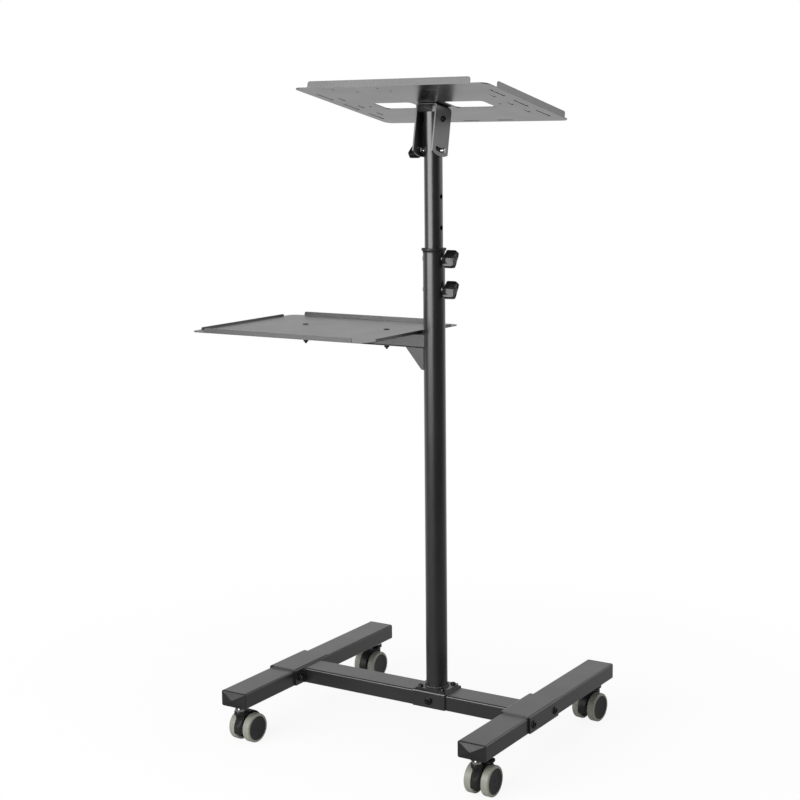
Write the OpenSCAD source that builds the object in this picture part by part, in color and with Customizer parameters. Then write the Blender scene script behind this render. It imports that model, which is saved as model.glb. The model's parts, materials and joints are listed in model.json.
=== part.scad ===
// Portable projector stand: a wheeled H base of steel tube, a telescoping mast with two
// clamp knobs, a tilting projector tray on a clevis bracket, and a fixed laptop shelf.
// X runs along the crossbar, Y along the legs towards the rear, and Z up from the floor.
// The origin is on the floor, below the middle of the whole stand.

/* [Base] */
// Length of each leg tube, without its end caps
leg_len = 456; // [380:1:560]
// Width of the leg and crossbar tube
leg_w = 50; // [44:1:60]
// Height of the leg and crossbar tube
leg_h = 27; // [24:1:32]
// Wall of the leg and crossbar tube
leg_wall = 1.5; // [1.2:0.1:2.5]
// Distance between the middles of the two legs
leg_spacing = 462; // [400:1:540]
// From the middle of the crossbar to the front end of a leg tube
leg_front = 189; // [150:1:230]
// From the mast to the middle of the right leg
mast_to_right = 176; // [150:1:230]
// Length of the bracket that saddles each leg
sleeve_len = 100; // [80:1:120]
// Thickness of the folded steel in the saddle brackets
sleeve_t = 3; // [2:0.5:4]
// Length of the saddle under the mast
saddle_len = 62; // [56:1:80]

/* [Casters] */
// Diameter of a caster wheel
wheel_d = 50; // [44:1:56]
// Width of one wheel
wheel_w = 14; // [12:0.5:16]
// Width over the two wheels of one caster
caster_w = 44; // [40:1:50]
// Height from the floor to the underside of the legs
caster_h = 68; // [66:1:78]
// Distance from the caster's stem to its wheel axle
caster_trail = 20; // [16:1:24]
// From the end of a leg tube to the caster's stem
stem_inset = 14; // [12:1:40]
// Angle that the front left caster stands turned by
turn_lf = -4; // [-20:1:20]
// Angle that the rear left caster stands turned by
turn_lr = -2; // [-20:1:20]
// Angle that the front right caster stands turned by
turn_rf = -1; // [-20:1:20]
// Angle that the rear right caster stands turned by
turn_rr = -6; // [-20:1:20]

/* [Mast] */
// Outer diameter of the lower mast tube
lower_d = 36; // [34:1:40]
// Outer diameter of the upper mast tube
upper_d = 30; // [26:1:31]
// Wall of both mast tubes
mast_wall = 1.8; // [1.5:0.1:2.4]
// Height of the top of the lower tube above the floor
lower_top = 832; // [700:1:950]
// Length of upper tube showing above the collar
upper_out = 218; // [200:1:320]
// Length of upper tube hidden in the lower tube
upper_in = 290; // [270:1:320]
// Distance between the height holes
hole_pitch = 50; // [40:1:54]
// Diameter of a height hole
hole_d = 8; // [7:0.5:9]

/* [Projector tray] */
// Width of the tray
tray_w = 350; // [300:1:420]
// Depth of the tray
tray_d = 282; // [240:1:320]
// From the tilt pivot forward to the tray's front edge
tray_front = 146; // [120:1:170]
// Thickness of the sheet steel in both trays
sheet_t = 1.5; // [1.2:0.1:2]
// Height of the tray's folded lips
lip_h = 11; // [8:1:16]
// Radius of the tray corners
tray_corner = 13; // [6:1:32]
// Tilt of the tray, with its front edge raised
tray_tilt = 11; // [0:1:12]
// Tilt that the bracket slots allow each way
tilt_max = 12; // [12:1:14]
// Distance from the tilt pivot down to the clamp screw
slot_r = 50; // [46:1:56]
// Depth of the bracket cheeks, front to rear
ear_w = 48; // [44:1:54]

/* [Laptop shelf] */
// Width of the shelf
shelf_w = 350; // [320:1:400]
// Depth of the shelf
shelf_d = 289; // [240:1:320]
// Height of the underside of the shelf above the floor
shelf_z = 700; // [600:1:720]
// From the middle of the mast forward to the shelf's front edge
shelf_front = 171; // [130:1:190]
// Height of the folded lips at the shelf's front and rear
shelf_lip = 8; // [6:1:12]
// Height of the folded lips at the shelf's two sides
shelf_side_lip = 5; // [5:1:12]

/* [Hidden] */
$fn = 48;

// Clearances and overruns
slip = 0.05;
seat_gap = 0.1;
bolt_clear = 0.2;
part_gap = 0.3;
cut = 1;

// Colours of the finishes
steel_black = "#3a393a";
nylon_black = "#1d1d1d";
tread_grey = "#9b9b94";
bright_steel = "#c9c9c9";

// Heights that follow from the base
leg_z = caster_h;
leg_top = leg_z + leg_h;
tube_round = 3;
leg_rear = leg_len - leg_front;
right_x = mast_to_right;
left_x = mast_to_right - leg_spacing;

// Leg end caps
cap_flange = 2;
cap_rise = 6;
cap_plug = 6;
cap_wall = 1.6;
cap_tip_share = 0.04;

// Saddle brackets over the legs, and the one under the mast
sleeve_lift = 1;
sleeve_drop = leg_h - sleeve_lift;
bend_r = 4;
sleeve_in = leg_w / 2 + seat_gap;
sleeve_out = sleeve_in + sleeve_t;
sleeve_bolt_edge = 12.5;
sleeve_bolt_y = sleeve_len / 2 - sleeve_bolt_edge;
sleeve_bolt_z = leg_z + leg_h / 2;
bolt_hole_d = 8.4;

// Mast foot
foot_w = 58;
foot_d = 50;
foot_t = 3;
foot_round = 4;
foot_screw_edge = 7.5;
foot_screw_x = foot_w / 2 - foot_screw_edge;
foot_screw_y = foot_d / 2 - foot_screw_edge;
foot_hole_d = 5.5;
foot_z = leg_top + seat_gap + sleeve_t;
weld_w = 2.5;
mast_z = foot_z + foot_t;

// Mast tubes and the collar between them
lower_bore = lower_d - 2 * mast_wall;
upper_bore = upper_d - 2 * mast_wall;
collar_t = 7;
collar_band = 2;
collar_step = 0.3;
collar_flare = 2;
bush_len = 30;
collar_top = lower_top + collar_t;
upper_top = collar_top + upper_out;
upper_bottom = lower_top - upper_in;
knob_down = 10;
upper_knob_z = lower_top - knob_down;
lower_knob_z = upper_knob_z - hole_pitch;
top_hole_z = upper_knob_z + 2 * hole_pitch;
hole_count = floor((top_hole_z - upper_bottom - hole_pitch / 2) / hole_pitch) + 1;

// Clamp knobs, on screws that turn in rivet nuts in the tube
nut_d = 13;
nut_t = 1;
screw_play = 0.5;
knob_screw_d = hole_d - screw_play;
screw_show = 3;
knob_hub_d = 16;
knob_len = 19;
knob_wing_from = 2.5;
knob_wing_span = 14.5;
knob_wing_t = 10;
knob_wing_r = 4;
knob_turn = -30;
tilt_knob_turn = 55;
washer_d = 13;
washer_t = 1.5;
knob_face = lower_d / 2 + nut_t;

// Tilt bracket and its screws
pivot_down = 12;
pivot_z = upper_top - pivot_down;
ear_t = 2.5;
ear_gap = 1.5;
ear_in = upper_d / 2 + ear_gap;
ear_out = ear_in + ear_t;
ear_foot = 10;
ear_foot_r = slot_r + ear_foot;
ear_rise = 22;
ear_bend = 4.5;
ear_front_r = 2;
ear_rear_r = 9;
tilt_screw_d = 6;
slot_play = 1;
slot_w = tilt_screw_d + slot_play;
slot_spare = 1;
slot_steps = 12;
pivot_d = 8;
bolt_head_d = 13;
bolt_head_t = 3.5;
clamp_head_d = 10;
clamp_head_t = 2.5;
tilt_z = pivot_z - slot_r;
tilt_grip = 12;

// Projector tray, in the bracket's own frame, with the pivot as origin
tray_z = ear_rise;
tray_slot_w = 4;
tray_slot_edge = 17;
tray_slot_x = tray_w / 2 - tray_slot_edge;
tray_slot_len = 48;
tray_slot_step = 77;
tray_slot_y = 3;
tray_short_edge = 36;
tray_short_x = tray_w / 2 - tray_short_edge;
tray_short_len = 21;
tray_short_step = 57;
edge_slot_len = 30;
edge_slot_step = 64;
edge_slot_in = 13;
edge_slot_y = tray_d / 2 - edge_slot_in;
window_x0 = 30;
window_x1 = 102;
window_d = 48;
window_r = 8;
window_y = 3.5;
small_hole_d = 5;
small_hole_x = 121;
front_slot_len = 26;
front_slot_w = 6;
front_slot_shares = [0.174, -0.378];
front_hole_d = 4;
front_hole_shares = [[-0.311, -0.441], [-0.214, -0.374], [-0.071, -0.444], [-0.037, -0.374],
                     [0.157, -0.444]];
lip_inset = 28;
side_lip_front = 35;
side_lip_rear = 19;
lip_round = 4;

// Laptop shelf and its arm
shelf_gap = 3;
shelf_x1 = -lower_d / 2 - shelf_gap;
shelf_x0 = shelf_x1 - shelf_w;
shelf_corner = 13;
shelf_lip_inset = 28;
shelf_arm_h = 24;
shelf_arm_w = 30;
shelf_arm_len = 260;
shelf_arm_round = 2.5;
arm_t = 2;
arm_top = shelf_z;
gusset_t = 2.5;
gusset_drop = 36;
gusset_reach = 30;

// Casters
wheel_r = wheel_d / 2;
axle_z = wheel_r;
axle_d = 6;
wheel_out = caster_w / 2;
wheel_in = wheel_out - wheel_w;
web_gap = 1;
web_t = 2 * (wheel_in - web_gap);
web_below = 8;
hood_gap = 1.2;
hood_t = 2;
rim_show = 4.5;
hood_w = caster_w - 2 * rim_show;
hood_neck_side = 43;
hood_far_side = 22;
neck_d = 19;
neck_drop = 11;
neck_top = caster_h - neck_drop;
stem_d = 10;
stem_up = 16;
stem_down = 16;
collar_ring_d = 16;
collar_ring_h = 4;
axle_short = 3;
tread_round = 2.5;
hub_rim = 4.3;
hub_r = wheel_r - hub_rim;
hub_dish = 1;
inner_dish = 5;
inner_boss_r = 7;
pedal_w = 39;
pedal_t = 3;
pedal_reach = 13;
pedal_rise = 2.4;
pedal_round = 4;
pedal_pin_d = 3;
pedal_lug_w = 6;
pedal_behind = -6.5;
pedal_y = caster_trail + pedal_behind;
pedal_z = axle_z + wheel_r + hood_gap + hood_t + pedal_lug_w / 2 + part_gap;
front_stem_y = stem_inset - leg_front;
rear_stem_y = leg_rear - stem_inset;

// Middle of the whole stand, seen from above
reach_right = right_x + sleeve_out;
reach_left = shelf_x0;
reach_front = -leg_front - cap_flange - cap_rise;
reach_rear = leg_rear + cap_flange + cap_rise;
middle = [(reach_left + reach_right) / 2, (reach_front + reach_rear) / 2, 0];

// Moves a piece from the mast's frame to the stand's own frame
module stand() {
  translate(-middle) children();
}

// Rectangle with round corners, centred
module round_rect(w, h, r) {
  union() {
    square([w - 2 * r, h], center = true);
    square([w, h - 2 * r], center = true);
    for (x = [-1, 1], y = [-1, 1])
      translate([x * (w / 2 - r), y * (h / 2 - r)]) circle(r = r);
  }
}

// Slot with round ends, centred, along X
module slot_shape(len, w) {
  union() {
    square([len - w, w], center = true);
    for (x = [-1, 1]) translate([x * (len - w) / 2, 0]) circle(d = w);
  }
}

// Outside of a strip folded down at both sides, standing on Y = 0
module folded(w, h, r) {
  union() {
    translate([-w / 2, 0]) square([w, h - r]);
    translate([r - w / 2, 0]) square([w - 2 * r, h]);
    for (s = [-1, 1]) translate([s * (w / 2 - r), h - r]) circle(r = r);
  }
}

// Section of the leg and crossbar tube
module tube_section() {
  difference() {
    round_rect(leg_w, leg_h, tube_round);
    round_rect(leg_w - 2 * leg_wall, leg_h - 2 * leg_wall, tube_round - leg_wall);
  }
}

// Leg tube along Y at the given X, with holes for the saddle bolts and caster stems
module leg(x) {
  color(steel_black) stand() translate([x, 0, leg_z + leg_h / 2]) difference() {
    translate([0, leg_rear, 0]) rotate([90, 0, 0]) linear_extrude(leg_len) tube_section();
    for (y = [-sleeve_bolt_y, sleeve_bolt_y])
      translate([-leg_w / 2 - cut, y, 0]) rotate([0, 90, 0])
        cylinder(h = leg_w + 2 * cut, d = bolt_hole_d);
    for (y = [front_stem_y, rear_stem_y])
      translate([0, y, -leg_h / 2 - cut])
        cylinder(h = leg_wall + 2 * cut, d = stem_d + 2 * bolt_clear);
  }
}

// Plastic cap on a leg end: flange, shallow pyramid and a plug inside the tube
module leg_cap(x, end) {
  y = end > 0 ? leg_rear : -leg_front;
  inner_w = leg_w - 2 * leg_wall - 2 * seat_gap;
  inner_h = leg_h - 2 * leg_wall - 2 * seat_gap;
  color(nylon_black) stand() translate([x, y, leg_z + leg_h / 2])
    rotate([90, 0, end > 0 ? 180 : 0]) union() {
      linear_extrude(cap_flange) round_rect(leg_w, leg_h, tube_round);
      translate([0, 0, cap_flange]) linear_extrude(cap_rise, scale = cap_tip_share)
        square([leg_w - tube_round, leg_h - tube_round], center = true);
      translate([0, 0, -cap_plug]) linear_extrude(cap_plug + cap_flange / 2) difference() {
        round_rect(inner_w, inner_h, tube_round - leg_wall);
        round_rect(inner_w - 2 * cap_wall, inner_h - 2 * cap_wall, leg_wall / 2);
      }
    }
}

// Crossbar between the two leg saddles
module crossbar() {
  x0 = left_x + sleeve_out;
  x1 = right_x - sleeve_out;
  color(steel_black) stand() translate([x0, 0, leg_z + leg_h / 2]) difference() {
    rotate([90, 0, 90]) linear_extrude(x1 - x0) tube_section();
    translate([-x0, -leg_w / 2 - cut, 0]) rotate([-90, 0, 0])
      cylinder(h = leg_w + 2 * cut, d = bolt_hole_d);
  }
}

// Inverted channel that saddles a tube, along X, open below
module channel(len, inner, drop) {
  outer = inner + 2 * sleeve_t;
  translate([-len / 2, 0, leg_top + seat_gap]) rotate([90, 0, 90]) linear_extrude(len)
    difference() {
      translate([0, -drop]) folded(outer, drop + sleeve_t, bend_r);
      translate([-inner / 2, -drop - cut]) square([inner, drop + cut]);
    }
}

// Saddle bracket over a leg, with its two bolt holes
module leg_saddle(x) {
  color(steel_black) stand() translate([x, 0, 0]) difference() {
    rotate([0, 0, 90]) channel(sleeve_len, 2 * sleeve_in, sleeve_drop);
    for (y = [-sleeve_bolt_y, sleeve_bolt_y])
      translate([-sleeve_out - cut, y, sleeve_bolt_z]) rotate([0, 90, 0])
        cylinder(h = 2 * (sleeve_out + cut), d = bolt_hole_d);
  }
}

// Saddle over the crossbar, under the mast
module mast_saddle() {
  color(steel_black) stand() difference() {
    channel(saddle_len, 2 * sleeve_in, sleeve_drop);
    translate([0, -sleeve_out - cut, sleeve_bolt_z]) rotate([-90, 0, 0])
      cylinder(h = 2 * (sleeve_out + cut), d = bolt_hole_d);
    foot_holes();
  }
}

// The four screw holes through the mast foot and its saddle
module foot_holes() {
  for (x = [-foot_screw_x, foot_screw_x], y = [-foot_screw_y, foot_screw_y])
    translate([x, y, leg_top]) cylinder(h = sleeve_t + foot_t + cut, d = foot_hole_d);
}

// Flat flange with the weld that carries the mast
module mast_foot() {
  color(steel_black) stand() difference() {
    union() {
      translate([0, 0, foot_z]) linear_extrude(foot_t) round_rect(foot_w, foot_d, foot_round);
      translate([0, 0, mast_z]) rotate_extrude()
        polygon([[lower_d / 2, 0], [lower_d / 2 + weld_w, 0], [lower_d / 2, weld_w]]);
    }
    foot_holes();
    translate([0, 0, foot_z - cut]) cylinder(h = foot_t + cut, d = lower_bore);
  }
}

// Lower mast tube with the rivet nuts of the two knobs
module lower_mast() {
  color(steel_black) stand() difference() {
    union() {
      translate([0, 0, mast_z]) cylinder(h = lower_top - mast_z, d = lower_d);
      for (z = [lower_knob_z, upper_knob_z])
        translate([0, 0, z]) rotate([0, 90, 0]) cylinder(h = knob_face, d = nut_d);
    }
    translate([0, 0, mast_z - cut]) cylinder(h = lower_top - mast_z + 2 * cut, d = lower_bore);
    for (z = [lower_knob_z, upper_knob_z])
      translate([0, 0, z]) rotate([0, 90, 0])
        cylinder(h = knob_face + cut, d = knob_screw_d + 2 * slip);
  }
}

// Plastic collar: a flared rim on the lower tube and a bushing inside it
module mast_collar() {
  rim_r = lower_d / 2 + collar_step;
  bore_r = upper_d / 2 + slip;
  bush_r = lower_bore / 2 - seat_gap;
  color(nylon_black) stand() difference() {
    translate([0, 0, lower_top]) rotate_extrude() polygon([
      [bore_r, -bush_len], [bush_r, -bush_len], [bush_r, 0], [rim_r, 0], [rim_r, collar_band],
      [rim_r + collar_flare, collar_band + collar_flare],
      [rim_r + collar_flare, collar_t - collar_step], [rim_r + collar_flare - collar_step, collar_t],
      [bore_r, collar_t]]);
    translate([0, 0, upper_knob_z]) rotate([0, 90, 0])
      cylinder(h = lower_d, d = knob_screw_d + 2 * bolt_clear);
  }
}

// Two-winged grip along +X from X = 0, with its wings upright
module wing_grip() {
  union() {
    rotate([0, 90, 0]) cylinder(h = knob_len, d = knob_hub_d);
    translate([knob_wing_from, 0, 0]) rotate([90, 0, 90]) linear_extrude(knob_len - knob_wing_from)
      round_rect(knob_wing_t, 2 * knob_wing_span, knob_wing_r);
  }
}

// Knob that clamps the mast at the given height, on its screw
module height_knob(z) {
  screw_len = knob_face - upper_d / 2 - part_gap;
  color(nylon_black) stand() translate([knob_face, 0, z]) rotate([knob_turn, 0, 0]) union() {
    translate([-screw_len, 0, 0]) rotate([0, 90, 0])
      cylinder(h = screw_len + screw_show + cut, d = knob_screw_d);
    translate([screw_show, 0, 0]) wing_grip();
  }
}

// Upper mast tube with its height holes and the two holes of the bracket
module upper_mast() {
  color(steel_black) stand() difference() {
    translate([0, 0, upper_bottom]) cylinder(h = upper_top - upper_bottom, d = upper_d);
    translate([0, 0, upper_bottom - cut])
      cylinder(h = upper_top - upper_bottom + 2 * cut, d = upper_bore);
    for (i = [0 : hole_count - 1])
      translate([0, 0, top_hole_z - i * hole_pitch]) rotate([0, 90, 0])
        cylinder(h = upper_d, d = hole_d);
    translate([-upper_d, 0, pivot_z]) rotate([0, 90, 0])
      cylinder(h = 2 * upper_d, d = pivot_d + 2 * seat_gap);
    translate([-upper_d, 0, tilt_z]) rotate([0, 90, 0])
      cylinder(h = 2 * upper_d, d = tilt_screw_d + 2 * seat_gap);
  }
}

// Pivot bolt through the bracket's cheeks and the mast
module tilt_pivot_bolt() {
  color(bright_steel) stand() translate([0, 0, pivot_z]) rotate([0, 90, 0]) union() {
    translate([0, 0, -ear_out - part_gap])
      cylinder(h = 2 * (ear_out + part_gap), d = pivot_d);
    translate([0, 0, ear_out + part_gap]) cylinder(h = bolt_head_t, d = bolt_head_d);
    translate([0, 0, -ear_out - part_gap - bolt_head_t])
      cylinder(h = bolt_head_t, d = bolt_head_d, $fn = 6);
  }
}

// Clamp screw through the slots, headed on the right, with its left end in the knob
module tilt_clamp_screw() {
  color(bright_steel) stand() translate([0, 0, tilt_z]) rotate([0, 90, 0]) union() {
    translate([0, 0, -ear_out - part_gap - tilt_grip])
      cylinder(h = 2 * (ear_out + part_gap) + tilt_grip, d = tilt_screw_d);
    translate([0, 0, ear_out + part_gap]) cylinder(h = clamp_head_t, d = clamp_head_d);
  }
}

// Knob on the left end of the clamp screw, with a washer at the bracket
module tilt_knob() {
  color(nylon_black) stand() translate([-ear_out - part_gap, 0, tilt_z])
    rotate([tilt_knob_turn, 0, 180]) difference() {
      union() {
        rotate([0, 90, 0]) cylinder(h = washer_t + cut, d = washer_d);
        translate([washer_t, 0, 0]) wing_grip();
      }
      translate([-cut, 0, 0]) rotate([0, 90, 0])
        cylinder(h = cut + tilt_grip + part_gap, d = tilt_screw_d + 2 * slip);
    }
}

// Puts what is drawn about the pivot in place, with the tray's tilt
module tilted() {
  stand() translate([0, 0, pivot_z]) rotate([-tray_tilt, 0, 0]) children();
}

// Outline of a bracket cheek, seen along X: Y across, Z up
module ear_outline() {
  y0 = -ear_w / 2;
  y1 = ear_w / 2;
  union() {
    translate([y0, -slot_r]) square([ear_w, slot_r + ear_rise - ear_rear_r]);
    translate([y0, ear_rise - ear_rear_r - cut])
      square([ear_w - ear_rear_r, ear_rear_r - ear_front_r + cut]);
    translate([y0 + ear_front_r, ear_rise - ear_rear_r])
      square([ear_w - ear_front_r - ear_rear_r, ear_rear_r]);
    translate([y0 + ear_front_r, ear_rise - ear_front_r]) circle(r = ear_front_r);
    translate([y1 - ear_rear_r, ear_rise - ear_rear_r]) circle(r = ear_rear_r);
    intersection() {
      circle(r = ear_foot_r, $fn = 96);
      translate([y0, -ear_foot_r]) square([ear_w, ear_foot_r]);
    }
  }
}

// Points of an arc about a centre, from angle a0 to a1, measured from straight down
function arc_points(centre, r, a0, a1, steps) =
  [for (i = [0 : steps]) let (a = a0 + (a1 - a0) * i / steps) centre + r * [sin(a), -cos(a)]];

// Middle of an end of the arc slot
function slot_end(a) = slot_r * [sin(a), -cos(a)];

// Arc slot in a cheek, about the pivot
module arc_slot() {
  half = tilt_max + slot_spare;
  polygon(concat(
    arc_points([0, 0], slot_r + slot_w / 2, -half, half, slot_steps),
    arc_points(slot_end(half), slot_w / 2, half, half + 180, slot_steps),
    arc_points([0, 0], slot_r - slot_w / 2, half, -half, slot_steps),
    arc_points(slot_end(-half), slot_w / 2, 180 - half, 360 - half, slot_steps)));
}

// Clevis bracket folded from sheet: two cheeks with arc slots under a flat top
module tilt_bracket() {
  color(steel_black) tilted() difference() {
    intersection() {
      translate([0, ear_w / 2 + cut, -ear_foot_r - cut]) rotate([90, 0, 0])
        linear_extrude(ear_w + 2 * cut) difference() {
          folded(2 * ear_out, ear_foot_r + cut + ear_rise, ear_bend);
          translate([0, -cut]) folded(2 * ear_in, ear_foot_r + 2 * cut + ear_rise - ear_t,
                                      ear_bend - ear_t);
        }
      translate([-ear_out - cut, 0, 0]) rotate([90, 0, 90])
        linear_extrude(2 * (ear_out + cut)) ear_outline();
    }
    translate([-ear_out - cut, 0, 0]) rotate([90, 0, 90])
      linear_extrude(2 * (ear_out + cut)) arc_slot();
    translate([-ear_out - cut, 0, 0]) rotate([0, 90, 0])
      cylinder(h = 2 * (ear_out + cut), d = pivot_d + 2 * slip);
  }
}

// Slots, holes and openings of the projector tray
module tray_cuts() {
  for (s = [-1, 1]) {
    for (i = [-1 : 1]) {
      translate([s * tray_slot_x, tray_slot_y + i * tray_slot_step]) rotate(90)
        slot_shape(tray_slot_len, tray_slot_w);
      translate([s * tray_short_x, tray_slot_y + i * tray_short_step]) rotate(90)
        slot_shape(tray_short_len, tray_slot_w);
    }
    translate([s * (window_x0 + window_x1) / 2, window_y])
      round_rect(window_x1 - window_x0, window_d, window_r);
    translate([s * small_hole_x, window_y]) circle(d = small_hole_d);
  }
  for (i = [-1 : 1]) translate([i * edge_slot_step, edge_slot_y])
    slot_shape(edge_slot_len, tray_slot_w);
  for (at = front_hole_shares) translate([at[0] * tray_w, at[1] * tray_d])
    circle(d = front_hole_d);
  translate([front_slot_shares[0] * tray_w, front_slot_shares[1] * tray_d])
    slot_shape(front_slot_len, front_slot_w);
}

// Upturned lips along the front and rear of a sheet, from the sheet's underside
module end_lips(w, d, inset, h) {
  for (a = [0, 180]) rotate([0, 0, a]) translate([0, d / 2, 0]) rotate([90, 0, 0])
    linear_extrude(sheet_t) folded(w - 2 * inset, h, min(lip_round, h / 2));
}

// Upturned lips along both sides of a sheet, each cut short at its front and rear
module side_lips(w, d, front, rear, h) {
  for (s = [-1, 1]) translate([s * (w - sheet_t) / 2 - sheet_t / 2, (front - rear) / 2, 0])
    rotate([90, 0, 90]) linear_extrude(sheet_t)
      folded(d - front - rear, h, min(lip_round, h / 2));
}

// Projector tray: slotted sheet with an upturned lip along each side
module projector_tray() {
  color(steel_black) tilted() translate([0, tray_d / 2 - tray_front, tray_z]) union() {
    linear_extrude(sheet_t) difference() {
      round_rect(tray_w, tray_d, tray_corner);
      tray_cuts();
    }
    end_lips(tray_w, tray_d, lip_inset, lip_h);
    side_lips(tray_w, tray_d, side_lip_front, side_lip_rear, lip_h);
  }
}

// Laptop shelf: plain sheet with an upturned lip along each side
module laptop_shelf() {
  color(steel_black) stand()
    translate([(shelf_x0 + shelf_x1) / 2, shelf_d / 2 - shelf_front, shelf_z]) union() {
      linear_extrude(sheet_t) round_rect(shelf_w, shelf_d, shelf_corner);
      end_lips(shelf_w, shelf_d, shelf_lip_inset, shelf_lip);
      side_lips(shelf_w, shelf_d, shelf_lip_inset, shelf_lip_inset, shelf_side_lip);
    }
}

// Tube arm under the shelf, coped to the mast
module shelf_arm() {
  color(steel_black) stand() difference() {
    translate([-lower_d / 2 - shelf_arm_len, 0, arm_top - shelf_arm_h / 2])
      rotate([90, 0, 90]) linear_extrude(shelf_arm_len + lower_d / 2) difference() {
        round_rect(shelf_arm_w, shelf_arm_h, shelf_arm_round);
        round_rect(shelf_arm_w - 2 * arm_t, shelf_arm_h - 2 * arm_t, shelf_arm_round - arm_t);
      }
    mast_cope(arm_top - shelf_arm_h, shelf_arm_h);
  }
}

// Room for the lower tube in what is welded to its side, from the given height
module mast_cope(z, h) {
  translate([0, 0, z - cut]) cylinder(h = h + 2 * cut, d = lower_d + 2 * seat_gap);
}

// Triangular gusset under the arm's near side, coped to the mast
module shelf_gusset() {
  y = gusset_t + shelf_arm_round - shelf_arm_w / 2;
  z = arm_top - shelf_arm_h;
  color(steel_black) stand() difference() {
    translate([0, y, z]) rotate([90, 0, 0]) linear_extrude(gusset_t)
      polygon([[0, 0], [-lower_d / 2 - gusset_reach, 0], [-lower_d / 2, -gusset_drop],
               [0, -gusset_drop]]);
    mast_cope(z - gusset_drop, gusset_drop);
  }
}

// Corners of the base: stem place and heading of each caster, which trails inwards
left_front = [left_x, front_stem_y, turn_lf];
left_rear = [left_x, rear_stem_y, turn_lr + 180];
right_front = [right_x, front_stem_y, turn_rf];
right_rear = [right_x, rear_stem_y, turn_rr + 180];

// Places a caster piece drawn with its stem at the origin and trailing towards +Y
module caster(at) {
  stand() translate([at[0], at[1], 0]) rotate([0, 0, at[2]]) children();
}

// Steel stem with its collar ring, screwed up into the leg
module caster_stem(at) {
  color(bright_steel) caster(at) union() {
    translate([0, 0, neck_top - stem_down])
      cylinder(h = leg_z + stem_up - neck_top + stem_down, d = stem_d);
    translate([0, 0, neck_top + part_gap]) cylinder(h = collar_ring_h, d = collar_ring_d);
  }
}

// Nylon body of a twin-wheel caster: neck, web between the wheels, hood and axle
module caster_fork(at, brake = false) {
  color(nylon_black) caster(at) difference() {
    union() {
      translate([0, caster_trail, axle_z]) web();
      translate([0, 0, axle_z - web_below])
        cylinder(h = web_below + wheel_r + hood_gap, d = web_t);
      translate([-web_t / 2, 0, axle_z]) cube([web_t, caster_trail, wheel_r + hood_gap]);
      translate([0, 0, axle_z + wheel_r + hood_gap])
        cylinder(h = neck_top - axle_z - wheel_r - hood_gap, d = neck_d);
      translate([0, caster_trail, axle_z]) hood();
      translate([axle_short - wheel_out, caster_trail, axle_z]) rotate([0, 90, 0])
        cylinder(h = 2 * wheel_out - 2 * axle_short, d = axle_d);
      if (brake) pedal_lug();
    }
    translate([0, 0, neck_top - stem_down])
      cylinder(h = stem_down + cut, d = stem_d + 2 * slip);
  }
}

// Web between the wheels, about the axle: a disc as large as the hood, cut off below
module web() {
  r = wheel_r + hood_gap + hood_t;
  translate([-web_t / 2, 0, 0]) rotate([90, 0, 90]) linear_extrude(web_t) intersection() {
    circle(r = r, $fn = 96);
    translate([-r - cut, -web_below]) square([2 * (r + cut), r + web_below + cut]);
  }
}

// Hood over the tops of both wheels, about the axle
module hood() {
  ri = wheel_r + hood_gap;
  far = 2 * (ri + hood_t);
  translate([-hood_w / 2, 0, 0]) rotate([90, 0, 90]) linear_extrude(hood_w) difference() {
    intersection() {
      circle(r = ri + hood_t, $fn = 96);
      polygon([[0, 0], [far * cos(hood_far_side), far * sin(hood_far_side)], [far, far],
               [-far, far], [-far * cos(hood_neck_side), far * sin(hood_neck_side)]]);
    }
    circle(r = ri, $fn = 96);
  }
}

// Wheel with a rounded tread, a dished hub and a hollow inner side; side is -1 or 1
module caster_wheel(at, side) {
  color(tread_grey) caster(at) translate([0, caster_trail, axle_z])
    rotate([0, side * 90, 0]) translate([0, 0, wheel_in]) difference() {
      rotate_extrude($fn = 96) union() {
        square([wheel_r - tread_round, wheel_w]);
        translate([0, tread_round]) square([wheel_r, wheel_w - 2 * tread_round]);
        for (z = [tread_round, wheel_w - tread_round])
          translate([wheel_r - tread_round, z]) circle(r = tread_round);
      }
      translate([0, 0, wheel_w - hub_dish]) cylinder(h = hub_dish + cut, r = hub_r);
      translate([0, 0, -cut]) difference() {
        cylinder(h = cut + inner_dish, r = hub_r);
        translate([0, 0, -cut]) cylinder(h = inner_dish + 3 * cut, r = inner_boss_r);
      }
      translate([0, 0, -cut])
        cylinder(h = cut + wheel_w - axle_short + part_gap, d = axle_d + 2 * slip);
    }
}

// Lug and pin on the hood that carry the brake lever
module pedal_lug() {
  translate([-pedal_lug_w / 2, pedal_y - pedal_lug_w / 2, axle_z + wheel_r])
    cube([pedal_lug_w, pedal_lug_w, pedal_z - axle_z - wheel_r]);
  translate([-pedal_w / 2 + pedal_round, pedal_y, pedal_z]) rotate([0, 90, 0])
    cylinder(h = pedal_w - 2 * pedal_round, d = pedal_pin_d);
}

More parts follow.
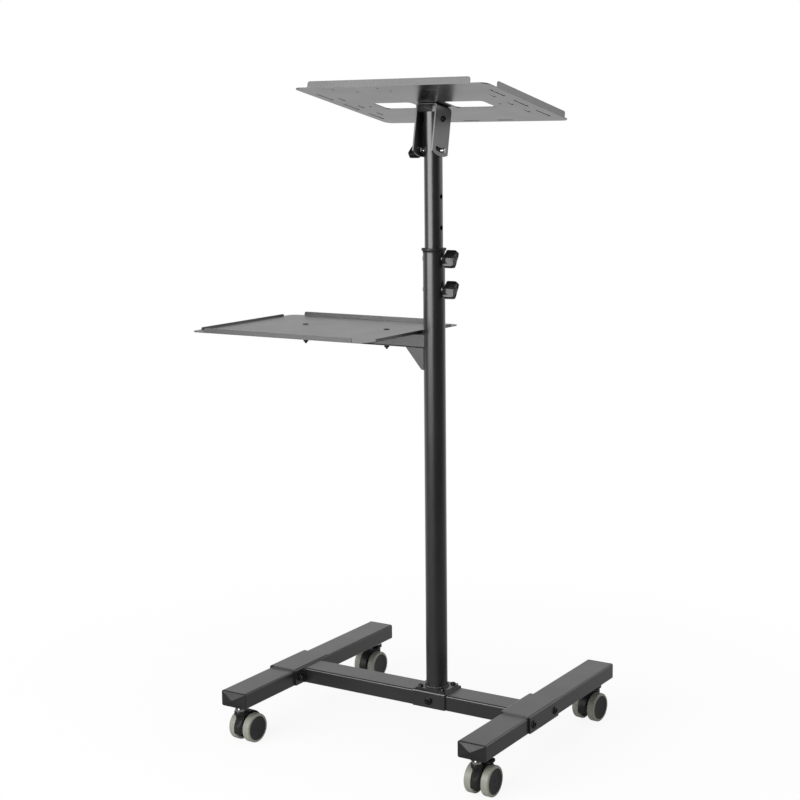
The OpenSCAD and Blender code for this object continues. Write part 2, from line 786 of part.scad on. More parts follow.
// Wide brake lever that rises to the rear from the pin behind the neck of one caster
module brake_pedal(at) {
  arm_w = (pedal_w - pedal_lug_w) / 2 - part_gap;
  knuckle = pedal_lug_w / 2;
  slot_end_y = knuckle + part_gap;
  color(nylon_black) caster(at) translate([0, pedal_y, pedal_z]) difference() {
    intersection() {
      union() {
        for (x = [-pedal_w / 2, pedal_w / 2 - arm_w])
          translate([x, 0, 0]) rotate([90, 0, 90]) linear_extrude(arm_w) union() {
            circle(r = knuckle);
            pedal_blade(0);
          }
        translate([-pedal_w / 2, 0, 0]) rotate([90, 0, 90]) linear_extrude(pedal_w)
          pedal_blade(slot_end_y + part_gap);
      }
      translate([0, (pedal_reach - knuckle) / 2, -pedal_w / 2]) linear_extrude(pedal_w)
        round_rect(pedal_w, pedal_reach + knuckle, pedal_round);
    }
    translate([-pedal_w, 0, 0]) rotate([0, 90, 0])
      cylinder(h = 2 * pedal_w, d = pedal_pin_d + 2 * slip);
  }
}

// Side view of the lever's blade, from the given distance behind the pin
module pedal_blade(from) {
  z0 = pedal_rise * from / pedal_reach;
  polygon([[from, z0 - pedal_t / 2], [pedal_reach, pedal_rise - pedal_t / 2],
           [pedal_reach, pedal_rise + pedal_t / 2], [from, z0 + pedal_t / 2]]);
}

leg(left_x);  // left_leg
leg(right_x);  // right_leg
leg_cap(left_x, -1);  // left_front_cap
leg_cap(left_x, 1);  // left_rear_cap
leg_cap(right_x, -1);  // right_front_cap
leg_cap(right_x, 1);  // right_rear_cap
crossbar();
leg_saddle(left_x);  // left_saddle
leg_saddle(right_x);  // right_saddle
mast_saddle();
mast_foot();
lower_mast();
mast_collar();
height_knob(upper_knob_z);  // upper_height_knob
height_knob(lower_knob_z);  // lower_height_knob
shelf_arm();
shelf_gusset();
laptop_shelf();
upper_mast();
tilt_pivot_bolt();
tilt_clamp_screw();
tilt_knob();
tilt_bracket();
projector_tray();
caster_stem(left_front);  // left_front_stem
caster_stem(left_rear);  // left_rear_stem
caster_stem(right_front);  // right_front_stem
caster_stem(right_rear);  // right_rear_stem
caster_fork(left_front);  // left_front_fork
caster_fork(left_rear);  // left_rear_fork
caster_fork(right_front, true);  // right_front_fork
caster_fork(right_rear);  // right_rear_fork
caster_wheel(left_front, -1);  // left_front_outer_wheel
caster_wheel(left_front, 1);  // left_front_inner_wheel
caster_wheel(left_rear, 1);  // left_rear_outer_wheel
caster_wheel(left_rear, -1);  // left_rear_inner_wheel
caster_wheel(right_front, -1);  // right_front_inner_wheel
caster_wheel(right_front, 1);  // right_front_outer_wheel
caster_wheel(right_rear, 1);  // right_rear_inner_wheel
caster_wheel(right_rear, -1);  // right_rear_outer_wheel
brake_pedal(right_front);
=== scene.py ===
"""Finishes, fasteners and a studio for a portable projector stand, laid out as an add-on."""

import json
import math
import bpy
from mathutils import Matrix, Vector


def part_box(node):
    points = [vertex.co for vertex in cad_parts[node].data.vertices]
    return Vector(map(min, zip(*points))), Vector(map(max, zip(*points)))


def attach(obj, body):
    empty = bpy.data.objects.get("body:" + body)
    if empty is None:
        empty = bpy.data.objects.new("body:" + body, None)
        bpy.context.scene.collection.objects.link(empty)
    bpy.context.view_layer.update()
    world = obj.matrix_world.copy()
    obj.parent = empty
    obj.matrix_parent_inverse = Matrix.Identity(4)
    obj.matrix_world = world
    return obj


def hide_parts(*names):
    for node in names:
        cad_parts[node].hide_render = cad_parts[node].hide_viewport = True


bl_info = {
    "name": "Portable projector stand",
    "version": (1, 0, 0),
    "blender": (4, 5, 0),
    "location": "3D View > Sidebar > Stand",
    "description": "Finishes, fasteners and a studio for a portable projector stand",
    "category": "Object",
}

import bmesh
import bpy
from mathutils import Matrix, Vector

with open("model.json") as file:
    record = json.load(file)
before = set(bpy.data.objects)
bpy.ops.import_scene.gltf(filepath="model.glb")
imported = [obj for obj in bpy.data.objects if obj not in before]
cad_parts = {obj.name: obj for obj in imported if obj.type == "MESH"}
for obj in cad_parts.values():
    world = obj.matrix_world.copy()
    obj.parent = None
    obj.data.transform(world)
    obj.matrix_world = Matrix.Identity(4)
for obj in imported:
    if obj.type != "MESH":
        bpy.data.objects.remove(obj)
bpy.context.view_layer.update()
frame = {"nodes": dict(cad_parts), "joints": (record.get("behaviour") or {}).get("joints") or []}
NODES = frame["nodes"]
JOINTS = {joint["name"]: joint for joint in frame["joints"]}

MM = 0.001
UP = Vector((0, 0, 1))
RIGHT = Vector((1, 0, 0))
BACK = Vector((0, 1, 0))
CORNERS = ("left_front", "left_rear", "right_front", "right_rear")
WHEEL_BODIES = tuple(corner + side for corner in CORNERS for side in ("_outer_wheel", "_inner_wheel"))

# The mast's axis on the floor
MAST = Vector(JOINTS["mast_height"]["pos_m"])
MAST.z = 0
MAST_R = (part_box("lower_mast")[1].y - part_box("lower_mast")[0].y) / 2

# Which CAD nodes wear which finish
COATED = (
    "left_leg", "right_leg", "crossbar", "left_saddle", "right_saddle", "mast_saddle",
    "mast_foot", "lower_mast", "upper_mast", "shelf_arm", "shelf_gusset", "laptop_shelf",
    "tilt_bracket", "projector_tray",
)
NYLON = tuple(corner + part for corner in CORNERS for part in ("_cap", "_fork")) + (
    "mast_collar", "brake_pedal")
GLOSSY = ("upper_height_knob", "lower_height_knob", "tilt_knob")
PLATED = tuple(corner + "_stem" for corner in CORNERS) + ("tilt_clamp_screw",)

# Places on the CAD pieces, in mm: bolts in the leg saddles from the middle of each saddle, screws
# in the mast foot and bolts in the shelf arm from the mast's axis
SADDLE_BOLT_Y = 37.5
SADDLE_BOLT_UP = 13.5
FOOT_THICKNESS = 3
FOOT_SCREW_X, FOOT_SCREW_Y = 21.5, 17.5
ARM_BOLTS_X = (-93, -258)
SHELF_SHEET = 1.5

# Gap between the ears of the tilt bracket and the heads and nut outside them, in mm
EAR_GAP = 0.3

# Widths of the grain in the finishes, in mm: peel and clouds of the powder coat, drift of the
# gloss on moulded plastic, and blotches in plated steel
PEEL_WIDTH, CLOUD_WIDTH, DRIFT_WIDTH, BLOTCH_WIDTH = 1.8, 55, 12, 1.5

# Bolts and nuts, in mm: depth of thread, chamfer of the nuts, heights of the nuts and heads,
# diameters of the bolts, and how far a bolt stands proud of its nut
THREAD_DEPTH, NUT_CHAMFER = 0.35, 0.8
SADDLE_NUT_HEIGHT, SADDLE_BOLT, SADDLE_PROUD = 4.2, 7.8, 2.2
ARM_NUT_HEIGHT, ARM_PROUD = 4.5, 2.8
PIVOT_BOLT, PIVOT_HEAD_HEIGHT = 7.8, 3.4
PIVOT_NUT, PIVOT_NUT_HEIGHT, PIVOT_PROUD = 11.5, 3.2, 0.3
CLAMP_SCREW, CLAMP_HEAD_HEIGHT = 5.8, 2.6

# How deep the domed heads are sunk in the mast's wall, in mm
DOME_SUNK = 0.9

# Clamp knobs, in mm: thickness at the hub and at the tips of the wings, hollow between the wings,
# depth and wall of the recess in each wing, rounding of the edges, and the corners of the wings
GRIP_HUB, GRIP_WING, GRIP_NOTCH = 15.5, 8, 1.5
RECESS_DEPTH, RECESS_WALL, EDGE_ROUND = 1.4, 1.2, 0.7
OUTER_CORNER, INNER_CORNER = 6.5, 2.5

# Screws of the clamp knobs, in mm: diameter, length that shows at the mast and at the tilt
# bracket, length inside the knob, and radius, thickness and place of the tilt knob's washer
KNOB_SCREW, MAST_SCREW_SHOWN, TILT_SCREW_SHOWN, SCREW_INSIDE = 7.6, 4.5, 1.8, 3
WASHER_R, WASHER_THICK, WASHER_BACK = 6.5, 1.3, 1.5

# The way that the wings point on the height knobs and on the tilt knob
HEIGHT_WINGS, TILT_WINGS = (0, 0.5, 0.866), (0, 0.819, 0.574)

# The hood is cut back beside the web, in mm: half the web, width and length of the cut, and its
# lowest and highest point above the floor
WEB_HALF, HOOD_CUT_W, HOOD_CUT_L, HOOD_CUT_LOW, HOOD_CUT_TOP = 7.2, 20, 80, 32.5, 53.3

# Wheel faces, in mm: width of the rim, depth of the outer dish and of the inner hollow, boss radius
HUB_RIM, HUB_DISH, INNER_DISH, BOSS_R = 4.3, 1.0, 5.0, 7.0


def linear(hex_colour):
    """An sRGB colour such as "#3a393a" as linear RGBA."""
    parts = [int(hex_colour[i:i + 2], 16) / 255 for i in (1, 3, 5)]
    return tuple(c / 12.92 if c <= 0.04045 else ((c + 0.055) / 1.055) ** 2.4 for c in parts) + (1,)


def colour_setting(name, description, hex_colour):
    """A colour that a user may change."""
    return bpy.props.FloatVectorProperty(
        name=name, description=description, subtype="COLOR", size=4, min=0, max=1,
        default=linear(hex_colour))


def length_setting(name, description, millimetres):
    """A length that a user may change."""
    return bpy.props.FloatProperty(
        name=name, description=description, unit="LENGTH", min=0, default=millimetres * MM)


class StandColours(bpy.types.PropertyGroup):
    """Colours of the finishes"""
    coat_dark: colour_setting("Coat, dark", "Darker tone of the powder coat", "#1a191a")
    coat_light: colour_setting("Coat, light", "Lighter tone of the powder coat", "#201f20")
    nylon: colour_setting("Nylon", "Caps, collar and caster bodies", "#1b1a1b")
    grip: colour_setting("Grip", "Polished plastic of the clamp knobs", "#141415")
    tread: colour_setting("Tread", "Treads of the caster wheels", "#8a8b81")
    hub: colour_setting("Hub", "Hub discs of the caster wheels", "#2a2828")
    zinc: colour_setting("Zinc", "Plated screws, stems and rings", "#c9c9c7")
    oxide: colour_setting("Black oxide", "Blackened bolts and nuts", "#454547")


class StandSizes(bpy.types.PropertyGroup):
    """Sizes of the fasteners and knobs, and the strength of the lamps"""
    saddle_head: length_setting("Saddle bolt head", "Diameter of the saddle bolts' heads", 14)
    saddle_nut: length_setting("Saddle nut", "Width of the saddle bolts' nuts across flats", 12)
    foot_head: length_setting("Foot screw head", "Diameter of the mast foot screws' heads", 9.5)
    arm_nut: length_setting("Arm nut", "Width of the nuts under the shelf arm across flats", 8)
    mast_head: length_setting("Mast bolt head", "Diameter of the domed heads on the mast", 15)
    pivot_head: length_setting("Pivot head", "Diameter of the tilt pivot's head", 9.5)
    clamp_head: length_setting("Clamp head", "Diameter of the tilt clamp screw's head", 9)
    grip_length: length_setting("Grip length", "Length of a clamp knob along its screw", 19)
    grip_span: length_setting("Grip span", "Width over both wings of a clamp knob", 29)
    weld: length_setting("Weld bead", "Radius of the weld beads", 1.7)
    lamp_power: bpy.props.FloatProperty(
        name="Lamp power", description="Power of the main soft lamp", unit="POWER", default=64.0)


def add(tree, kind, settings=None, links=None, **values):
    """Adds a node with its settings and input values, and links (socket, from node, output)."""
    node = tree.nodes.new(kind)
    for name, value in (settings or {}).items():
        setattr(node, name, value)
    for name, value in values.items():
        node.inputs[name.replace("_", " ")].default_value = value
    for socket, source, output in links or ():
        tree.links.new(source.outputs[output], node.inputs[socket])
    return node


def new_material(name):
    """An empty node material, its tree and its texture coordinates."""
    material = bpy.data.materials.new(name)
    material.use_nodes = True
    tree = material.node_tree
    tree.nodes.clear()
    return tree, add(tree, "ShaderNodeTexCoord")


def powder_coat(colours):
    """Black polyester powder coat, sprayed dry and baked: a satin skin of clear resin over pigment.

    The peel is drawn 1.8 mm wide, about twice its real width, so that it shows as a fine grain."""
    tree, place = new_material("powder_coat_baked")
    peel = add(tree, "ShaderNodeTexNoise", None, [("Vector", place, "Object")],
               Scale=1 / (PEEL_WIDTH * MM), Detail=2)
    cloud = add(tree, "ShaderNodeTexNoise", None, [("Vector", place, "Object")],
                Scale=1 / (CLOUD_WIDTH * MM), Detail=3)
    tone = add(tree, "ShaderNodeMix", {"data_type": "RGBA"}, [(0, cloud, "Fac")])
    tone.inputs[6].default_value = colours.coat_dark
    tone.inputs[7].default_value = colours.coat_light
    gloss = add(tree, "ShaderNodeMapRange", None, [("Value", cloud, "Fac")],
                From_Min=0.3, From_Max=0.7, To_Min=0.30, To_Max=0.37)
    bump = add(tree, "ShaderNodeBump", None, [("Height", peel, "Fac")],
               Strength=0.3, Distance=0.04 * MM)
    shader = add(tree, "ShaderNodeBsdfPrincipled", None,
                 [("Base Color", tone, 2), ("Roughness", gloss, "Result"),
                  ("Normal", bump, "Normal")],
                 IOR=1.55, Coat_Weight=1.0, Coat_Roughness=0.28, Coat_IOR=1.5)
    add(tree, "ShaderNodeOutputMaterial", None, [("Surface", shader, "BSDF")])


def moulded(name, colour, roughness, grain_mm, depth_mm, ior):
    """Moulded plastic: a fine spark-eroded grain from the tool, and gloss that drifts a little."""
    tree, place = new_material(name)
    grain = add(tree, "ShaderNodeTexNoise", None, [("Vector", place, "Object")],
                Scale=1 / (grain_mm * MM), Detail=3)
    drift = add(tree, "ShaderNodeTexNoise", None, [("Vector", place, "Object")],
                Scale=1 / (DRIFT_WIDTH * MM), Detail=2)
    gloss = add(tree, "ShaderNodeMapRange", None, [("Value", drift, "Fac")],
                From_Min=0.3, From_Max=0.7, To_Min=roughness - 0.04, To_Max=roughness + 0.04)
    bump = add(tree, "ShaderNodeBump", None, [("Height", grain, "Fac")],
               Strength=0.25, Distance=depth_mm * MM)
    shader = add(tree, "ShaderNodeBsdfPrincipled", None,
                 [("Roughness", gloss, "Result"), ("Normal", bump, "Normal")],
                 Base_Color=colour, IOR=ior)
    add(tree, "ShaderNodeOutputMaterial", None, [("Surface", shader, "BSDF")])


def metal(name, colour, roughness):
    """Turned steel under a thin plated or blackened skin: fine blotches in its shine."""
    tree, place = new_material(name)
    blotches = add(tree, "ShaderNodeTexNoise", None, [("Vector", place, "Object")],
                   Scale=1 / (BLOTCH_WIDTH * MM), Detail=3)
    gloss = add(tree, "ShaderNodeMapRange", None, [("Value", blotches, "Fac")],
                From_Min=0.3, From_Max=0.7, To_Min=roughness - 0.06, To_Max=roughness + 0.06)
    shader = add(tree, "ShaderNodeBsdfPrincipled", None, [("Roughness", gloss, "Result")],
                 Base_Color=colour, Metallic=1.0)
    add(tree, "ShaderNodeOutputMaterial", None, [("Surface", shader, "BSDF")])


def finishes():
    """All materials of the stand, made the first time that one is asked for."""
    if "powder_coat_baked" not in bpy.data.materials:
        colours = bpy.context.scene.stand_colours
        powder_coat(colours)
        # Glass-filled nylon leaves the tool dull, polished ABS keeps the tool's shine, and the
        # soft polyurethane of the treads scatters light like fine chalk
        moulded("nylon_moulded", colours.nylon, 0.46, 0.9, 0.03, 1.53)
        moulded("abs_polished", colours.grip, 0.16, 2.5, 0.008, 1.53)
        moulded("polyurethane_tread_moulded", colours.tread, 0.42, 1.2, 0.02, 1.5)
        moulded("nylon_hub_moulded", colours.hub, 0.5, 0.9, 0.03, 1.53)
        metal("steel_zinc_plated", colours.zinc, 0.24)
        metal("steel_black_oxide", colours.oxide, 0.3)
    return bpy.data.materials


def lathe(profile, steps=40):
    """A solid of revolution about Z from (radius, height) points in mm."""
    bm = bmesh.new()
    verts = [bm.verts.new((r * MM, 0, z * MM)) for r, z in profile]
    edges = [bm.edges.new(pair) for pair in zip(verts, verts[1:])]
    bmesh.ops.spin(bm, geom=verts + edges, axis=UP, cent=(0, 0, 0), dvec=(0, 0, 0),
                   angle=math.tau, steps=steps, use_merge=True, use_duplicate=False)
    bmesh.ops.remove_doubles(bm, verts=bm.verts, dist=0.001 * MM)
    bmesh.ops.recalc_face_normals(bm, faces=bm.faces)
    return bm


def seat(at, toward=UP, across=None, turn=0.0):
    """The matrix that takes the origin to a place, Z toward one direction and Y across another."""
    z = Vector(toward).normalized()
    y = Vector(across) if across else (BACK if abs(z.dot(UP)) > 0.5 else UP)
    x = y.cross(z).normalized()
    y = z.cross(x)
    turned = Matrix((x, y, z)).transposed().to_4x4()
    return Matrix.Translation(Vector(at)) @ turned @ Matrix.Rotation(turn, 4, "Z")


def gather(parts):
    """One bmesh from (bmesh, matrix) pairs. Each source is kept, so that it can come again."""
    whole = bmesh.new()
    for bm, matrix in parts:
        first = len(whole.verts)
        mesh = bpy.data.meshes.new("part")
        bm.to_mesh(mesh)
        whole.from_mesh(mesh)
        bpy.data.meshes.remove(mesh)
        whole.verts.ensure_lookup_table()
        bmesh.ops.transform(whole, matrix=matrix, verts=whole.verts[first:])
    return whole


def piece(name, bm, body, finish, sharp_deg=35):
    """Makes a piece from a bmesh, smooth but for its sharp edges, and seats it on its body."""
    mesh = bpy.data.meshes.new(name)
    for face in bm.faces:
        face.smooth = True
    bm.to_mesh(mesh)
    bm.free()
    mesh.set_sharp_from_angle(angle=math.radians(sharp_deg))
    mesh.materials.append(finishes()[finish])
    made = bpy.data.objects.new(name, mesh)
    bpy.context.scene.collection.objects.link(made)
    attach(made, body)
    return made


def round_bar(radius, start, end):
    """A plain round bar along Z between two heights, all in mm."""
    return lathe([(0, start), (radius, start), (radius, end), (0, end)])


def button_head(diameter, height, socket, depth):
    """Domed head of a screw with a hexagon socket, its underside at Z = 0, all in mm."""
    r, flat = diameter / 2, socket * 0.74
    bm = lathe([(0, 0), (r, 0), (r, height * 0.2), (r * 0.96, height * 0.42),
                (r * 0.85, height * 0.72), (r * 0.68, height * 0.93), (flat, height)])
    rim = [e for e in bm.edges if e.is_boundary]
    bmesh.ops.create_circle(bm, cap_ends=False, segments=6, radius=socket / 2 * MM,
                            matrix=Matrix.Translation((0, 0, height * MM)))
    ring = [e for e in bm.edges if e.is_boundary or e.is_wire]
    ring = [e for e in ring if e not in rim]
    bmesh.ops.bridge_loops(bm, edges=rim + ring)
    sunk = bmesh.ops.extrude_edge_only(bm, edges=ring)["geom"]
    low = [v for v in sunk if isinstance(v, bmesh.types.BMVert)]
    bmesh.ops.translate(bm, verts=low, vec=(0, 0, -depth * MM))
    bmesh.ops.contextual_create(bm, geom=[e for e in sunk if isinstance(e, bmesh.types.BMEdge)])
    bmesh.ops.recalc_face_normals(bm, faces=bm.faces)
    return bm


def hex_nut(across, height):
    """Hexagon nut or head with chamfered corners, its underside at Z = 0, all in mm."""
    bm = bmesh.new()
    bmesh.ops.create_circle(bm, cap_ends=True, segments=6, radius=across / math.sqrt(3) * MM)
    made = bmesh.ops.extrude_face_region(bm, geom=list(bm.faces))["geom"]
    top = [v for v in made if isinstance(v, bmesh.types.BMVert)]
    bmesh.ops.translate(bm, verts=top, vec=(0, 0, height * MM))
    bmesh.ops.recalc_face_normals(bm, faces=bm.faces)
    rim = [e for e in bm.edges if all(v in top for v in e.verts)]
    bmesh.ops.bevel(bm, geom=rim, offset=NUT_CHAMFER * MM, offset_type="OFFSET", segments=2,
                    profile=0.5, affect="EDGES", material=-1)
    return bm


def bolt_end(diameter, length, pitch=1.25):
    """Threaded end of a bolt from Z = 0, its tip chamfered, all in mm."""
    r, root = diameter / 2, diameter / 2 - THREAD_DEPTH
    profile = [(0, 0), (root, 0)]
    turns = max(1, int(length / pitch) - 1)
    for i in range(turns):
        profile += [(r, (i + 0.5) * pitch), (root, (i + 1) * pitch)]
    profile += [(root - 0.6, length), (0, length)]
    return lathe(profile, 24)


def nut_and_bolt(across, height, bolt, proud):
    """A nut with the end of its bolt standing proud of it."""
    return gather([(hex_nut(across, height), Matrix()),
                   (bolt_end(bolt, height + proud), Matrix())])


def bead(path, radius, step=1.5):
    """A welded bead: overlapping drops along a path of points in metres."""
    drop = bmesh.new()
    bmesh.ops.create_uvsphere(drop, u_segments=10, v_segments=6, radius=radius * MM)
    places = []
    for start, end in zip(path, path[1:]):
        run = end - start
        count = max(1, round(run.length / (step * MM)))
        for i in range(count):
            wobble = 1 + 0.12 * math.sin(2.4 * len(places))
            places.append(Matrix.Translation(start + run * (i + 0.5) / count)
                          @ Matrix.Diagonal((wobble, wobble, wobble, 1)))
    return gather([(drop, place) for place in places])


class STAND_OT_finishes(bpy.types.Operator):
    """Gives every CAD node its finish"""
    bl_idname = "stand.finishes"
    bl_label = "Finishes of the CAD nodes"

    def execute(self, context):
        materials = finishes()
        for names, finish in (
                (COATED, "powder_coat_baked"), (NYLON, "nylon_moulded"), (GLOSSY, "abs_polished"),
                (WHEEL_BODIES, "polyurethane_tread_moulded"), (PLATED, "steel_zinc_plated"),
                (("tilt_pivot_bolt",), "steel_black_oxide")):
            for name in names:
                if not NODES[name].material_slots:
                    raise RuntimeError(name + " has no material slot")
                for held in NODES[name].material_slots:
                    held.link = "OBJECT"
                    held.material = materials[finish]
        return {"FINISHED"}


class STAND_OT_saddle_bolts(bpy.types.Operator):
    """Bolts through the leg saddles and the saddle under the mast, with nuts on the inner cheeks"""
    bl_idname = "stand.saddle_bolts"
    bl_label = "Saddle bolts"

    def execute(self, context):
        sizes = context.scene.stand_sizes
        wide = sizes.saddle_head / MM
        head = button_head(wide, wide * 0.2, wide * 0.36, wide * 0.12)
        nut = nut_and_bolt(sizes.saddle_nut / MM, SADDLE_NUT_HEIGHT, SADDLE_BOLT, SADDLE_PROUD)
        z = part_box("left_leg")[0].z + SADDLE_BOLT_UP * MM
        heads, nuts = [], []
        for name, outward in (("left_saddle", -RIGHT), ("right_saddle", RIGHT)):
            low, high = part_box(name)
            outer, inner = (low.x, high.x) if outward.x < 0 else (high.x, low.x)
            for y in (-SADDLE_BOLT_Y, SADDLE_BOLT_Y):
                y = (low.y + high.y) / 2 + y * MM
                heads.append(seat((outer, y, z), outward, turn=0.3))
                nuts.append(seat((inner, y, z), -outward, turn=0.25))
        low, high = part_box("mast_saddle")
        heads.append(seat((MAST.x, high.y, z), BACK, turn=0.2))
        nuts.append(seat((MAST.x, low.y, z), -BACK, turn=0.35))
        bm = gather([(head, place) for place in heads] + [(nut, place) for place in nuts])
        piece("saddle_bolts", bm, "base", "steel_black_oxide")
        return {"FINISHED"}


class STAND_OT_foot_screws(bpy.types.Operator):
    """Four button-head screws that hold the mast's foot on its saddle"""
    bl_idname = "stand.foot_screws"
    bl_label = "Mast foot screws"

    def execute(self, context):
        wide = context.scene.stand_sizes.foot_head / MM
        head = button_head(wide, wide * 0.34, wide * 0.42, wide * 0.2)
        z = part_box("mast_saddle")[1].z + FOOT_THICKNESS * MM
        places = [seat((MAST.x + x * MM, MAST.y + y * MM, z), UP, turn=0.4 * x + y)
                  for x in (-FOOT_SCREW_X, FOOT_SCREW_X) for y in (-FOOT_SCREW_Y, FOOT_SCREW_Y)]
        piece("foot_screws", gather([(head, place) for place in places]), "base",
              "steel_black_oxide")
        return {"FINISHED"}


class STAND_OT_shelf_bolts(bpy.types.Operator):
    """Two bolts that hold the shelf on its arm: low heads above, nuts below"""
    bl_idname = "stand.shelf_bolts"
    bl_label = "Shelf bolts"

    def execute(self, context):
        across = context.scene.stand_sizes.arm_nut / MM
        head = button_head(across * 1.3, 1.2, across * 0.4, 0.8)
        nut = nut_and_bolt(across, ARM_NUT_HEIGHT, across * 0.62, ARM_PROUD)
        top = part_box("shelf_arm")[1].z + SHELF_SHEET * MM
        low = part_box("shelf_arm")[0].z
        parts = []
        for x in ARM_BOLTS_X:
            at = MAST + RIGHT * x * MM
            parts.append((head, seat(at + UP * top)))
            parts.append((nut, seat(at + UP * low, -UP, turn=0.3)))
        piece("shelf_bolts", gather(parts), "base", "steel_black_oxide")
        return {"FINISHED"}


class STAND_OT_mast_heads(bpy.types.Operator):
    """Low domed heads on the mast, opposite the two height knobs"""
    bl_idname = "stand.mast_heads"
    bl_label = "Domed heads on the mast"

    def execute(self, context):
        r = context.scene.stand_sizes.mast_head / MM / 2
        dome = lathe([(0, -4), (r * 0.8, -4), (r, -0.6), (r * 0.98, 0.3), (r * 0.86, 1.1),
                      (r * 0.62, 1.8), (r * 0.3, 2.2), (0, 2.3)])
        parts = []
        for knob in ("upper_knob_turn", "lower_knob_turn"):
            at = MAST - RIGHT * (MAST_R - DOME_SUNK * MM) + UP * JOINTS[knob]["pos_m"][2]
            parts.append((dome, seat(at, -RIGHT)))
        piece("mast_heads", gather(parts), "base", "powder_coat_baked")
        return {"FINISHED"}


class STAND_OT_welds(bpy.types.Operator):
    """Weld beads at the mast's foot, the shelf arm, its gusset and the ends of the crossbar"""
    bl_idname = "stand.welds"
    bl_label = "Weld beads"

    def execute(self, context):
        radius = context.scene.stand_sizes.weld / MM
        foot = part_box("mast_saddle")[1].z + FOOT_THICKNESS * MM
        ring_r = MAST_R + radius * 0.6 * MM
        ring = [MAST + UP * (foot + radius * 0.6 * MM)
                + ring_r * Vector((math.cos(a), math.sin(a), 0))
                for a in (math.tau * i / 60 for i in range(61))]
        parts = [(bead(ring, radius), Matrix())]
        parts += [(bead(self.coped_loop("shelf_arm"), radius * 0.75), Matrix())]
        low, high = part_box("shelf_gusset")
        for y in (low.y, high.y):
            x = -math.sqrt(MAST_R ** 2 - (y - MAST.y) ** 2)
            line = [Vector((MAST.x + x, y, z)) for z in (low.z, high.z)]
            parts.append((bead(line, radius * 0.7), Matrix()))
        low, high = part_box("crossbar")
        for x in (low.x, high.x):
            loop = [Vector((x, low.y, low.z)), Vector((x, low.y, high.z)),
                    Vector((x, high.y, high.z)), Vector((x, high.y, low.z))]
            parts.append((bead(loop, radius * 0.45, 1.1), Matrix()))
        piece("weld_beads", gather(parts), "base", "powder_coat_baked", 60)
        return {"FINISHED"}

    @staticmethod
    def coped_loop(node):
        """The outline of a square arm where it meets the round mast."""
        low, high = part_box(node)
        half = (high.y - low.y) / 2
        ys = [half * i / 6 for i in range(-6, 7)]
        top = [Vector((MAST.x - math.sqrt(MAST_R ** 2 - y * y), MAST.y + y, high.z)) for y in ys]
        under = [Vector((p.x, p.y, low.z)) for p in reversed(top)]
        return top + under + top[:1]


class STAND_OT_clamp_knobs(bpy.types.Operator):
    """The winged clamp knobs of the mast and of the tilt bracket, on bright screws"""
    bl_idname = "stand.clamp_knobs"
    bl_label = "Clamp knobs"

    def execute(self, context):
        sizes = context.scene.stand_sizes
        length = sizes.grip_length
        for node, body, way, span in (
                ("upper_height_knob", "upper_knob", RIGHT, HEIGHT_WINGS),
                ("lower_height_knob", "lower_knob", RIGHT, HEIGHT_WINGS),
                ("tilt_knob", "tray_knob", -RIGHT, TILT_WINGS)):
            low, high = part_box(node)
            middle = (low + high) / 2
            far = high.x if way.x > 0 else low.x
            at = Vector((far - way.x * length, middle.y, middle.z))
            grip = wing_grip(length / MM, sizes.grip_span / MM)
            made = piece(node + "_grip", gather([(grip, seat(at, way, span))]), body,
                         "abs_polished", 40)
            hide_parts(node)
            back = MAST_SCREW_SHOWN if way.x > 0 else TILT_SCREW_SHOWN
            screw = bolt_end(KNOB_SCREW, back + SCREW_INSIDE)
            parts = [(screw, seat(at - way * back * MM, way))]
            if node == "tilt_knob":
                washer = round_bar(WASHER_R, 0, WASHER_THICK)
                parts.append((washer, seat(at - way * WASHER_BACK * MM, way)))
            piece(node + "_screw", gather(parts), body, "steel_zinc_plated")
        return {"FINISHED"}


def wing_grip(length, span):
    """Two-winged grip from Z = 0 along Z, its wings along Y, thinner to their tips, in mm."""
    bm = bmesh.new()
    bmesh.ops.create_cube(bm, size=1.0, matrix=Matrix.Translation((0, 0, 0.5)))
    bmesh.ops.scale(bm, vec=(GRIP_WING * MM, span * MM, length * MM), verts=bm.verts)
    along = [e for e in bm.edges if abs(e.verts[0].co.y - e.verts[1].co.y) > 0.5 * span * MM]
    bmesh.ops.subdivide_edges(bm, edges=along, cuts=13, use_grid_fill=True)
    half, tall = span / 2 * MM, length * MM
    for vert in bm.verts:
        out = abs(vert.co.y) / half
        vert.co.x *= GRIP_HUB / GRIP_WING * (1 - out) + out
        if vert.co.z > tall / 2:
            vert.co.z -= GRIP_NOTCH * MM * max(0.0, 1 - out / 0.55)
    for z, offset, segments in ((tall, OUTER_CORNER, 7), (0, INNER_CORNER, 4)):
        corner = [e for e in bm.edges if all(abs(abs(v.co.y) - half) < 1e-6
                                             and abs(v.co.z - z) < 1e-6 for v in e.verts)]
        bmesh.ops.bevel(bm, geom=corner, offset=offset * MM, offset_type="OFFSET",
                        segments=segments, profile=0.5, affect="EDGES", material=-1)
    ends = [f for f in bm.faces if f.normal.z > 0.95 and abs(f.calc_center_median().y) > 0.3 * half]
    for side in (-1, 1):
        wing_end = [f for f in ends if f.calc_center_median().y * side > 0]
        bmesh.ops.inset_region(bm, faces=wing_end, thickness=RECESS_WALL * MM,
                               depth=-RECESS_DEPTH * MM, use_even_offset=True)
    sharp = [e for e in bm.edges if e.is_manifold and e.calc_face_angle() > math.radians(50)]
    bmesh.ops.bevel(bm, geom=sharp, offset=EDGE_ROUND * MM, offset_type="OFFSET", segments=2,
                    profile=0.5, affect="EDGES", material=-1, clamp_overlap=True)
    bmesh.ops.recalc_face_normals(bm, faces=bm.faces)
    return bm


